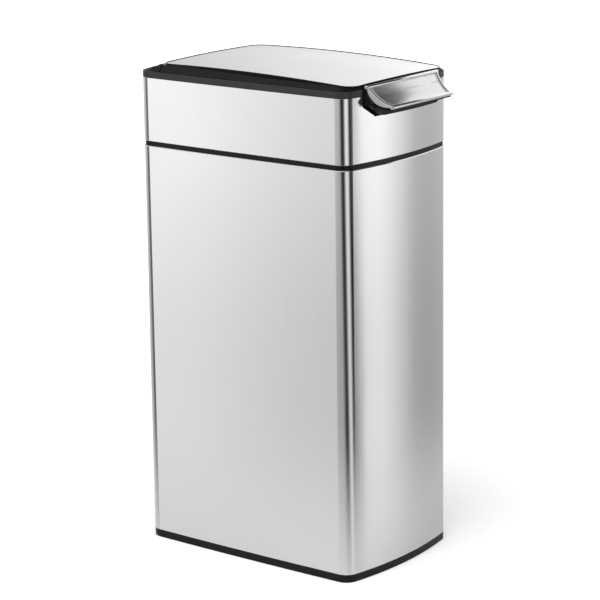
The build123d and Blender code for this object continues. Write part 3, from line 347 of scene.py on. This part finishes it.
def brushGroup(s):
    tree, given, out = group(
        "brushedGrain",
        {"Vector": None, "Colour": grey(0.7), "Roughness": 0.3, "Streaks": 0.06, "Height": 0.02},
        ("Colour", "Roughness", "Normal"))
    fine, broad, cloud = [noiseNode(tree, given["Vector"], *s[label])
                          for label in ("fine", "broad", "cloud")]
    both = mathNode(tree, "MULTIPLY_ADD", broad, 0.5, mathNode(tree, "MULTIPLY", fine, 0.5))
    swing = mathNode(tree, "SUBTRACT", both, noiseMean)
    level = mathNode(tree, "MULTIPLY_ADD", swing, given["Streaks"], 1.0)
    tree.links.new(scaleNode(tree, given["Colour"], level), out["Colour"])
    drift = mathNode(tree, "SUBTRACT", cloud, noiseMean)
    drift = mathNode(tree, "MULTIPLY_ADD", drift, s["roughClouds"], given["Roughness"])
    rough = mathNode(tree, "MULTIPLY_ADD", swing, s["roughStreaks"], drift)
    tree.links.new(rough, out["Roughness"])
    tree.links.new(bumpNode(tree, given["Height"], both, s["bump"]), out["Normal"])
    return tree


mouldSettings = {
    "grain": ((1600, 1600, 1600), 2),
    "cloud": ((14, 14, 14), 4),
    "dustFrom": 0.45,
    "dust": 0.42,
    "roughClouds": 0.2,
    "bump": 0.0002,
}


def mouldedGroup(s):
    tree, given, out = group(
        "mouldedGrain",
        {"Vector": None, "Colour": grey(0.03), "Roughness": 0.45, "Grain": 0.15, "Dust": 0.1},
        ("Colour", "Roughness", "Normal"))
    grain, cloud = [noiseNode(tree, given["Vector"], *s[label]) for label in ("grain", "cloud")]
    dust = mathNode(tree, "SUBTRACT", cloud, s["dustFrom"])
    dust = mathNode(tree, "MAXIMUM", mathNode(tree, "MULTIPLY", dust, given["Dust"]), 0)
    tree.links.new(mixNode(tree, dust, given["Colour"], grey(s["dust"])), out["Colour"])
    drift = mathNode(tree, "SUBTRACT", cloud, noiseMean)
    rough = mathNode(tree, "MULTIPLY_ADD", drift, s["roughClouds"], given["Roughness"])
    tree.links.new(rough, out["Roughness"])
    tree.links.new(bumpNode(tree, given["Grain"], grain, s["bump"]), out["Normal"])
    return tree


hemHighlightSettings = {
    "heights": (0.0, 0.011, 0.542, 0.548, 0.633, 0.641),    # hems and rims along which a painted highlight is laid
    "reach": (0.0018, 0.0003),  # no painted highlight beyond the first distance, all of it within the second
    "patch": ((38, 38, 38), 4),
    "patches": (0.42, 0.62),
    "rougher": 0.14,
}


# Painted highlight: lays a line of the given colour along the hem and rim heights, broken into
# noise patches, and makes those lines rougher
def hemHighlightGroup(s):
    tree, given, out = group(
        "paintedHemHighlight",
        {"Vector": None, "Colour": grey(0.5), "Roughness": 0.3, "HighlightColour": grey(0.5), "Amount": 0.3},
        ("Colour", "Roughness"))
    parts = tree.nodes.new("ShaderNodeSeparateXYZ")
    tree.links.new(given["Vector"], parts.inputs[0])
    gaps = [mathNode(tree, "ABSOLUTE", mathNode(tree, "SUBTRACT", parts.outputs["Z"], height))
            for height in s["heights"]]
    nearest = gaps[0]
    for gap in gaps[1:]:
        nearest = mathNode(tree, "MINIMUM", nearest, gap)
    edge = rangeNode(tree, nearest, *s["reach"])
    broken = rangeNode(tree, noiseNode(tree, given["Vector"], *s["patch"]), *s["patches"])
    highlightMask = mathNode(tree, "MULTIPLY", mathNode(tree, "MULTIPLY", edge, broken), given["Amount"])
    tree.links.new(mixNode(tree, highlightMask, given["Colour"], given["HighlightColour"]), out["Colour"])
    rough = mathNode(tree, "MULTIPLY_ADD", highlightMask, s["rougher"], given["Roughness"])
    tree.links.new(rough, out["Roughness"])
    return tree


brushedGrain = brushGroup(brushSettings)
mouldedGrain = mouldedGroup(mouldSettings)
paintedHemHighlight = hemHighlightGroup(hemHighlightSettings)

# Finishes

finishDefaults = {
    "turn": (0, 0, 0),          # degrees that turn the grain, which runs up the piece without it
    "metallic": 0.0,
    "specular": 0.5,
    "highlightLevel": 0.09,               # level and share of the painted highlight along the hems and rims
    "highlightShare": 0.14,
}
finishSettings = {
    "bodySteel": {
        "nodes": ("body_shell", "collar_shell"), "effect": brushedGrain, "metallic": 1,
        "values": {"Colour": grey(0.78), "Roughness": 0.11, "Streaks": 0.04, "Height": 0.03},
        "highlightLevel": 0.92, "highlightShare": 0.6},
    "panelSteel": {
        "nodes": ("lid_panel",), "effect": brushedGrain, "metallic": 1, "turn": (90, 0, 0),
        "values": {"Colour": grey(0.76), "Roughness": 0.22, "Streaks": 0.03, "Height": 0.02}},
    "barSteel": {
        "nodes": ("touch_bar",), "effect": brushedGrain, "metallic": 1, "turn": (0, 90, 0),
        "values": {"Colour": grey(0.78), "Roughness": 0.13, "Streaks": 0.04, "Height": 0.02}},
    "platedSteel": {            # also on every node that no finish names
        "nodes": (), "effect": brushedGrain, "metallic": 1,
        "values": {"Colour": grey(0.6), "Roughness": 0.32, "Streaks": 0.2, "Height": 0.1}},
    "blackPlastic": {
        "nodes": ("base_plinth", "seam_ring", "collar_chute", "collar_floor", "latch_housing",
                  "lid_liner", "bar_carrier", "latch_hook"),
        "effect": mouldedGrain, "specular": 0.18,
        "values": {"Colour": grey(0.008), "Roughness": 0.24, "Grain": 0.1, "Dust": 0.02}},
    "bevelPlastic": {
        "nodes": ("lid_frame", "hinge_cover"), "effect": mouldedGrain, "specular": 0.12,
        "values": {"Colour": grey(0.005), "Roughness": 0.2, "Grain": 0.08, "Dust": 0.01}},
    "rimPlastic": {
        "nodes": ("collar_frame",), "effect": mouldedGrain, "specular": 0.4,
        "values": {"Colour": grey(0.03), "Roughness": 0.36, "Grain": 0.14, "Dust": 0.05}},
    "bucketPlastic": {
        "nodes": ("inner_bucket",), "effect": mouldedGrain,
        "values": {"Colour": grey(0.09), "Roughness": 0.42, "Grain": 0.2, "Dust": 0.08}},
    "softRubber": {
        "nodes": ("base_feet", "lid_bumpers"), "effect": mouldedGrain,
        "values": {"Colour": grey(0.03), "Roughness": 0.7, "Grain": 0.3, "Dust": 0.15}},
}


def finishFrom(name, s):
    s = {**finishDefaults, **s}
    material = bpy.data.materials.new(name)
    material.use_nodes = True
    tree = material.node_tree
    shader = tree.nodes["Principled BSDF"].inputs
    shader["Metallic"].default_value = s["metallic"]
    shader["Specular IOR Level"].default_value = s["specular"]
    place = tree.nodes.new("ShaderNodeTexCoord").outputs["Object"]
    mapping = tree.nodes.new("ShaderNodeMapping")
    mapping.inputs["Rotation"].default_value = inRadians(s["turn"])
    tree.links.new(place, mapping.inputs["Vector"])
    grain = tree.nodes.new("ShaderNodeGroup")
    grain.node_tree = s["effect"]
    for label, value in s["values"].items():
        grain.inputs[label].default_value = value
    tree.links.new(mapping.outputs[0], grain.inputs["Vector"])
    # painted highlight along the hems and rims, which also makes them rougher
    highlighted = tree.nodes.new("ShaderNodeGroup")
    highlighted.node_tree = paintedHemHighlight
    highlighted.inputs["HighlightColour"].default_value = grey(s["highlightLevel"])
    highlighted.inputs["Amount"].default_value = s["highlightShare"]
    tree.links.new(place, highlighted.inputs["Vector"])
    for label, target in (("Colour", "Base Color"), ("Roughness", "Roughness")):
        tree.links.new(grain.outputs[label], highlighted.inputs[label])
        tree.links.new(highlighted.outputs[label], shader[target])
    tree.links.new(grain.outputs["Normal"], shader["Normal"])
    return material


finishes = {name: finishFrom(name, settings) for name, settings in finishSettings.items()}
finishOfNode = {nodeName: finishName for finishName, settings in finishSettings.items()
                for nodeName in settings["nodes"]}
for nodeName, node in nodes.items():
    node.data.materials.clear()
    node.data.materials.append(finishes[finishOfNode.get(nodeName, "platedSteel")])
print("finishes set")

# Mesh helpers

weldDistance = 1e-5
fineWeldDistance = 1e-6
cutDistance = 1e-7


def pieceFrom(name, mesh, body, finish, smoothAngle=35):
    bmesh.ops.remove_doubles(mesh, verts=mesh.verts, dist=fineWeldDistance)
    bmesh.ops.recalc_face_normals(mesh, faces=mesh.faces)
    data = bpy.data.meshes.new(name)
    mesh.to_mesh(data)
    mesh.free()
    for face in data.polygons:
        face.use_smooth = True
    data.set_sharp_from_angle(angle=radians(smoothAngle))
    piece = bpy.data.objects.new(name, data)
    scene.collection.objects.link(piece)
    data.materials.append(finishes[finish])
    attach(piece, body)
    return piece


def newVerts(mesh, old):
    return [vert for vert in mesh.verts if vert not in old]


def vertsOf(parts):
    return [part for part in parts if isinstance(part, bmesh.types.BMVert)]


def edgesOf(verts):
    return list(dict.fromkeys(edge for vert in verts for edge in vert.link_edges))


def facesOf(verts):
    return list(dict.fromkeys(face for vert in verts for face in vert.link_faces))


def sectionOf(ring):
    return ring + edgesOf(ring) + facesOf(ring)


def sweep(mesh, parts, centre, angle, steps, axis=(1, 0, 0), rise=(0, 0, 0)):
    bmesh.ops.spin(mesh, geom=parts, cent=centre, axis=axis, dvec=rise, angle=angle, steps=steps,
                   use_duplicate=False)


def addRod(mesh, radius, length, sides, matrix):
    bmesh.ops.create_cone(mesh, cap_ends=True, segments=sides, radius1=radius, radius2=radius,
                          depth=length, matrix=matrix)


# Touch bar

barSettings = {
    "topBead": (-0.1739, 0.6436),   # y and z of the bead along the top, and of the lip's
    "lipBead": (-0.20449, 0.6195),
    "beadRadius": 0.0024,
    "beadRounding": 0.0007,
    "beadSides": 24,
    "beadSpare": 0.01,              # extra length that the slanting ends cut off
    "endAngle": 40,                 # degrees, sharper edges are those round a bead's ends
    "sag": 0.0042,                  # how far the scoop sinks below the line from bead to bead
    "sheet": 0.0012,
    "sheetInset": 0.0008,
    "backing": 0.0042,
    "backingInset": 0.0022,
    "rear": (0.079, -0.1715),       # half width and y at the top, and at the lip
    "front": (0.066, -0.2069),
    "endBead": (0.0016, 2.0, 0.0045),   # radius, how much wider than high, middle from the end
    "endSides": 16,
    "cheek": (0.0265, 0.0013, 0.0004),  # the end plates' outer curve, thickness and inset
    "stud": (0.04, -0.18, 0.0032),      # x and y of the studs, and their radius
    "studHeights": (0.6132, 0.63),
    "studSides": 24,
    "steps": 28,
}


def cutEnds(mesh, s, inset):
    (rearHalf, rearY), (frontHalf, frontY) = s["rear"], s["front"]
    for side in (-1, 1):
        outward = Vector((side * (rearY - frontY), frontHalf - rearHalf, 0)).normalized()
        corner = Vector((side * rearHalf, rearY, 0)) - outward * inset
        cut = bmesh.ops.bisect_plane(mesh, geom=mesh.verts[:] + mesh.edges[:] + mesh.faces[:],
                                     dist=cutDistance, plane_co=corner, plane_no=outward,
                                     clear_outer=True)
        rim = [edge for edge in cut["geom_cut"] if isinstance(edge, bmesh.types.BMEdge)]
        bmesh.ops.holes_fill(mesh, edges=rim, sides=0)


def slant(verts, s, side, inset):
    (rearHalf, rearY), (frontHalf, frontY) = s["rear"], s["front"]
    slope = (rearHalf - frontHalf) / (rearY - frontY)
    for vert in verts:
        vert.co.x += side * (frontHalf - inset + slope * (vert.co.y - frontY))


def chordOf(s):
    top, lip = Vector((0, *s["topBead"])), Vector((0, *s["lipBead"]))
    across = (top - lip).normalized()
    return top, lip, (top - lip).length / 2, Vector((0, -across.z, across.y))


def scoopCurve(s):
    top, lip, half, outward = chordOf(s)
    radius = (half ** 2 + s["sag"] ** 2) / (2 * s["sag"])
    centre = (top + lip) / 2 + outward * (radius - s["sag"])
    return centre, radius, (lip - centre).angle(top - centre), (lip - centre).normalized()


def scoopSheet(s, start, thickness, inset):
    centre, radius, angle, toLip = scoopCurve(s)
    mesh = bmesh.new()
    half = s["rear"][0] + s["beadRadius"]
    end = start + thickness
    corners = [mesh.verts.new(centre + toLip * (radius + reach) + Vector((side * half, 0, 0)))
               for reach, side in ((start, -1), (start, 1), (end, 1), (end, -1))]
    edges = [mesh.edges.new((corners[n - 1], corners[n])) for n in (1, 2, 3, 0)]
    sweep(mesh, corners + edges, centre, angle, s["steps"])
    bmesh.ops.holes_fill(mesh, edges=[edge for edge in mesh.edges if edge.is_boundary], sides=0)
    cutEnds(mesh, s, inset)
    return mesh


def beadRod(mesh, s, y, z):
    turned = Matrix.Translation((0, y, z)) @ Matrix.Rotation(radians(90), 4, "Y")
    rod = bmesh.new()
    addRod(rod, s["beadRadius"], 2 * s["rear"][0] + s["beadSpare"], s["beadSides"], turned)
    cutEnds(rod, s, 0)
    rims = [edge for edge in rod.edges
            if edge.is_manifold and edge.calc_face_angle() > radians(s["endAngle"])]
    bmesh.ops.bevel(rod, geom=rims, offset=s["beadRounding"], offset_type="OFFSET",
                    affect="EDGES", segments=3, profile=0.5, material=-1)
    spare = bpy.data.meshes.new("spare")
    rod.to_mesh(spare)
    rod.free()
    mesh.from_mesh(spare)
    bpy.data.meshes.remove(spare)


def endBead(mesh, s, side):
    centre, radius, angle, toLip = scoopCurve(s)
    beadRadius, wide, inset = s["endBead"]
    old = set(mesh.verts)
    place = Matrix.Translation(centre + toLip * (radius - s["sheet"] / 2))
    turn = Matrix.Rotation(atan2(toLip.z, toLip.y), 4, "X")
    bmesh.ops.create_circle(mesh, cap_ends=True, segments=s["endSides"], radius=beadRadius,
                            matrix=place @ turn @ Matrix.Diagonal((wide, 1, 1, 1)))
    sweep(mesh, sectionOf(newVerts(mesh, old)), centre, angle, s["steps"])
    slant(newVerts(mesh, old), s, side, inset)


def endCheek(mesh, s, side):
    outer, thickness, inset = s["cheek"]
    old = set(mesh.verts)
    top, lip, half, outward = chordOf(s)
    outerCentre = (top + lip) / 2 + outward * sqrt(outer ** 2 - half ** 2)
    for centre in (scoopCurve(s)[0], outerCentre):
        angle = (lip - centre).angle(top - centre)
        sweep(mesh, [mesh.verts.new(lip)], centre, angle, s["steps"])
    bmesh.ops.remove_doubles(mesh, verts=newVerts(mesh, old), dist=weldDistance)
    outline = edgesOf(newVerts(mesh, old))
    face = bmesh.ops.contextual_create(mesh, geom=outline)["faces"]
    grown = bmesh.ops.extrude_face_region(mesh, geom=face, use_keep_orig=True)["geom"]
    bmesh.ops.translate(mesh, verts=vertsOf(grown), vec=(-side * thickness, 0, 0))
    slant(newVerts(mesh, old), s, side, inset)


def makeTouchBar(s):
    bar = scoopSheet(s, -s["sheet"] / 2, s["sheet"], s["sheetInset"])
    for y, z in (s["topBead"], s["lipBead"]):
        beadRod(bar, s, y, z)
    studX, studY, studRadius = s["stud"]
    bottom, top = s["studHeights"]
    for side in (-1, 1):
        endBead(bar, s, side)
        endCheek(bar, s, side)
        addRod(bar, studRadius, top - bottom, s["studSides"],
               Matrix.Translation((side * studX, studY, (top + bottom) / 2)))
    scoop = pieceFrom("touch_bar_scoop", bar, "touch_bar", "barSteel")
    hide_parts("touch_bar")
    backing = scoopSheet(s, s["sheet"] / 2, s["backing"], s["backingInset"])
    pieceFrom("touch_bar_backing", backing, "touch_bar", "blackPlastic")


makeTouchBar(barSettings)
print("touch bar made")

# Lid trim

trimSettings = {
    "rise": 0.0006,             # how far the black lip stands above the edge of the steel
    "foot": 0.0016,
    "width": 0.0008,
    "edgeAngle": 60,            # degrees, the panel's upper edge is sharper than this
    "levelFace": 0.9,           # and lies beside a face that points up at least this much
}


def makeLidTrim(s):
    trim = bmesh.new()
    trim.from_mesh(nodes["lid_panel"].data)
    bmesh.ops.remove_doubles(trim, verts=trim.verts, dist=weldDistance)
    trim.normal_update()
    spare = [edge for edge in trim.edges
             if edge.calc_face_angle() < radians(s["edgeAngle"])
             or max(face.normal.z for face in edge.link_faces) < s["levelFace"]]
    bmesh.ops.delete(trim, geom=spare, context="EDGES")
    bmesh.ops.translate(trim, verts=trim.verts, vec=(0, 0, -s["foot"]))
    grown = bmesh.ops.extrude_edge_only(trim, edges=trim.edges[:])["geom"]
    bmesh.ops.translate(trim, verts=vertsOf(grown), vec=(0, 0, s["foot"] + s["rise"]))
    bmesh.ops.recalc_face_normals(trim, faces=trim.faces)
    first = trim.faces[:][0]
    if first.normal.dot(first.calc_center_median()) < 0:
        bmesh.ops.reverse_faces(trim, faces=trim.faces)
    bmesh.ops.solidify(trim, geom=trim.faces[:], thickness=-s["width"])
    pieceFrom("lid_trim", trim, "lid", "bevelPlastic")


makeLidTrim(trimSettings)
print("lid trim made")

# Springs

springSettings = {
    "bar_springs": {
        "starts": ((-0.045, -0.1705, 0.59852), (0.045, -0.1705, 0.59852)), "along": (0, 0, 1),
        "radius": 0.0034, "wire": 0.0005, "length": 0.00896, "turns": 6, "legs": (),
        "squash": ("bar_rock", 0.9, 0)},    # joint, share of length kept, share at which it is held
    "latch_spring": {
        "starts": ((0, -0.14348, 0.628),), "along": (0, 1, 0),
        "radius": 0.0025, "wire": 0.0005, "length": 0.00866, "turns": 6, "legs": (),
        "squash": ("hook_turn", 0.7, 1)},
    "lid_spring": {
        "starts": ((-0.012, 0.1405, 0.6434),), "along": (1, 0, 0),
        "radius": 0.0029, "wire": 0.0006, "length": 0.024, "turns": 14,
        "legs": (((-0.0114, 0.1376, 0.6434), (0, -0.0035, -0.0074)),    # start and reach
                 ((0.0114, 0.1405, 0.6463), (0, -0.0025, 0))),
        "squash": None},
}
coilSettings = {
    "turnSteps": 16,
    "wireSides": 8,
    "legSides": 12,
    "smoothAngle": 60,
}


def turnTo(direction):
    return Vector(direction).to_track_quat("Z", "Y").to_matrix().to_4x4()


def windCoil(mesh, s, start):
    old = set(mesh.verts)
    place = Matrix.Translation((s["radius"], 0, s["wire"])) @ Matrix.Rotation(radians(90), 4, "X")
    ring = bmesh.ops.create_circle(mesh, cap_ends=True, segments=coilSettings["wireSides"],
                                   radius=s["wire"], matrix=place)["verts"]
    steps = s["turns"] * coilSettings["turnSteps"]
    rise = (s["length"] - 2 * s["wire"]) / steps
    sweep(mesh, sectionOf(ring), (0, 0, 0), tau * s["turns"], steps, (0, 0, 1), (0, 0, rise))
    bmesh.ops.transform(mesh, matrix=Matrix.Translation(start) @ turnTo(s["along"]),
                        verts=newVerts(mesh, old))


def makeSprings(name, s):
    mesh = bmesh.new()
    for start in s["starts"]:
        windCoil(mesh, s, start)
    for start, reach in s["legs"]:
        middle = Vector(start) + Vector(reach) / 2
        addRod(mesh, s["wire"], Vector(reach).length, coilSettings["legSides"],
               Matrix.Translation(middle) @ turnTo(reach))
    spring = pieceFrom(name + "_coil", mesh, "collar", "platedSteel", coilSettings["smoothAngle"])
    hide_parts(name)
    if s["squash"]:
        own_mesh(spring)


for springName, settings in springSettings.items():
    makeSprings(springName, settings)
print("springs made")

scene.view_settings.view_transform = "Standard"
